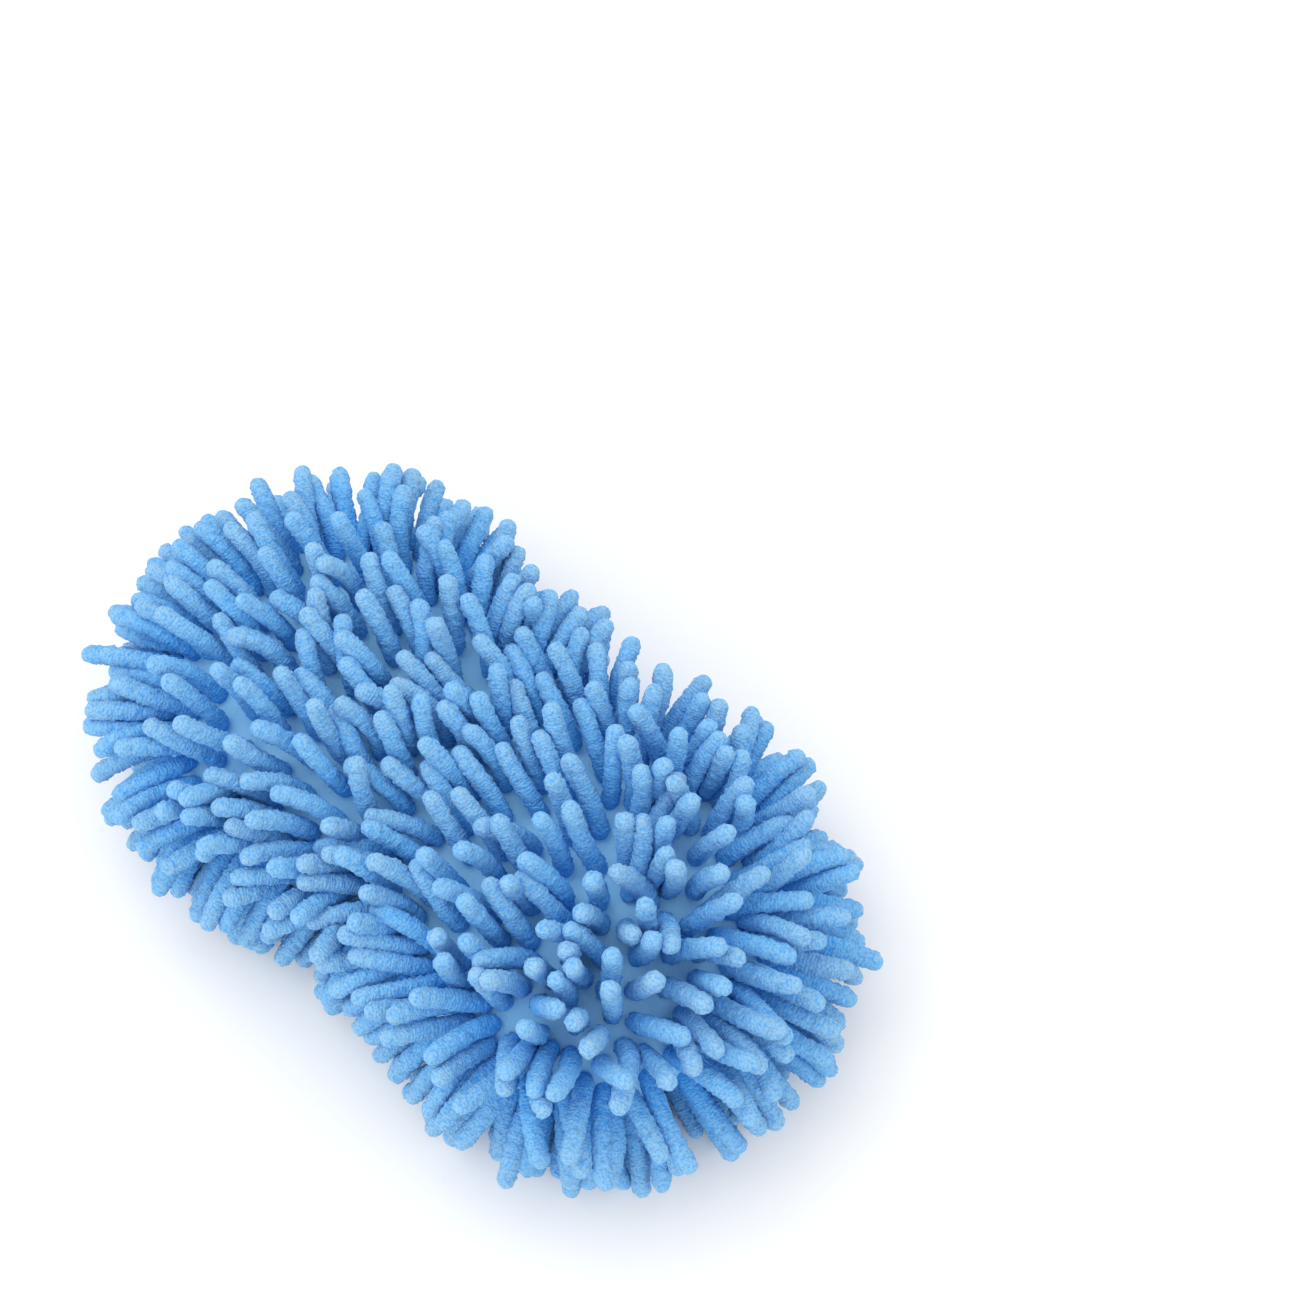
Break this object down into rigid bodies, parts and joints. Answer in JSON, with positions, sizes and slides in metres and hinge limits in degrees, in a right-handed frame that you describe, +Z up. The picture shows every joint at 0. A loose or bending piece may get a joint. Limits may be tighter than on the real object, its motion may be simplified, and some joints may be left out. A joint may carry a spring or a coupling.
{
  "type": "chenille wash mitt",
  "caption": "Figure-eight chenille wash mitt: a foam core in a sewn knit cover with soft noodle pile all over, gripped at its waist to wash a car.",
  "frame": {"origin": "on the floor under the middle of the mitt, in the plane of the noodle tips that it rests on", "axes": "+X along the mitt from lobe to lobe, +Y across it, +Z up through its crown"},
  "size_m": [0.2584, 0.1506, 0.0766],
  "materials": {
    "chenille": "soft microfibre chenille yarn",
    "knit": "smooth fine knit",
    "foam": "open-cell sponge",
    "thread": "twisted polyester thread"
  },
  "bodies": {
    "root": {"foam_core": "foam", "upper_backing": "knit", "lower_backing": "knit", "seam_overlock": "thread", "closing_stitch": "thread", "upper_noodle_row_01": "chenille", "upper_noodle_row_02": "chenille", "upper_noodle_row_03": "chenille", "upper_noodle_row_04": "chenille", "upper_noodle_row_05": "chenille", "upper_noodle_row_06": "chenille", "upper_noodle_row_07": "chenille", "upper_noodle_row_08": "chenille", "upper_noodle_row_09": "chenille", "upper_noodle_row_10": "chenille", "upper_noodle_row_11": "chenille", "upper_noodle_row_12": "chenille", "upper_noodle_row_13": "chenille", "upper_noodle_row_14": "chenille", "upper_noodle_row_15": "chenille", "upper_noodle_row_16": "chenille", "upper_noodle_row_17": "chenille", "upper_noodle_row_18": "chenille", "lower_noodle_row_01": "chenille", "lower_noodle_row_02": "chenille", "lower_noodle_row_03": "chenille", "lower_noodle_row_04": "chenille", "lower_noodle_row_05": "chenille", "lower_noodle_row_06": "chenille", "lower_noodle_row_07": "chenille", "lower_noodle_row_08": "chenille", "lower_noodle_row_09": "chenille", "lower_noodle_row_10": "chenille", "lower_noodle_row_11": "chenille", "lower_noodle_row_12": "chenille", "lower_noodle_row_13": "chenille", "lower_noodle_row_14": "chenille", "lower_noodle_row_15": "chenille", "lower_noodle_row_16": "chenille", "lower_noodle_row_17": "chenille", "lower_noodle_row_18": "chenille"}
  },
  "joints": []
}
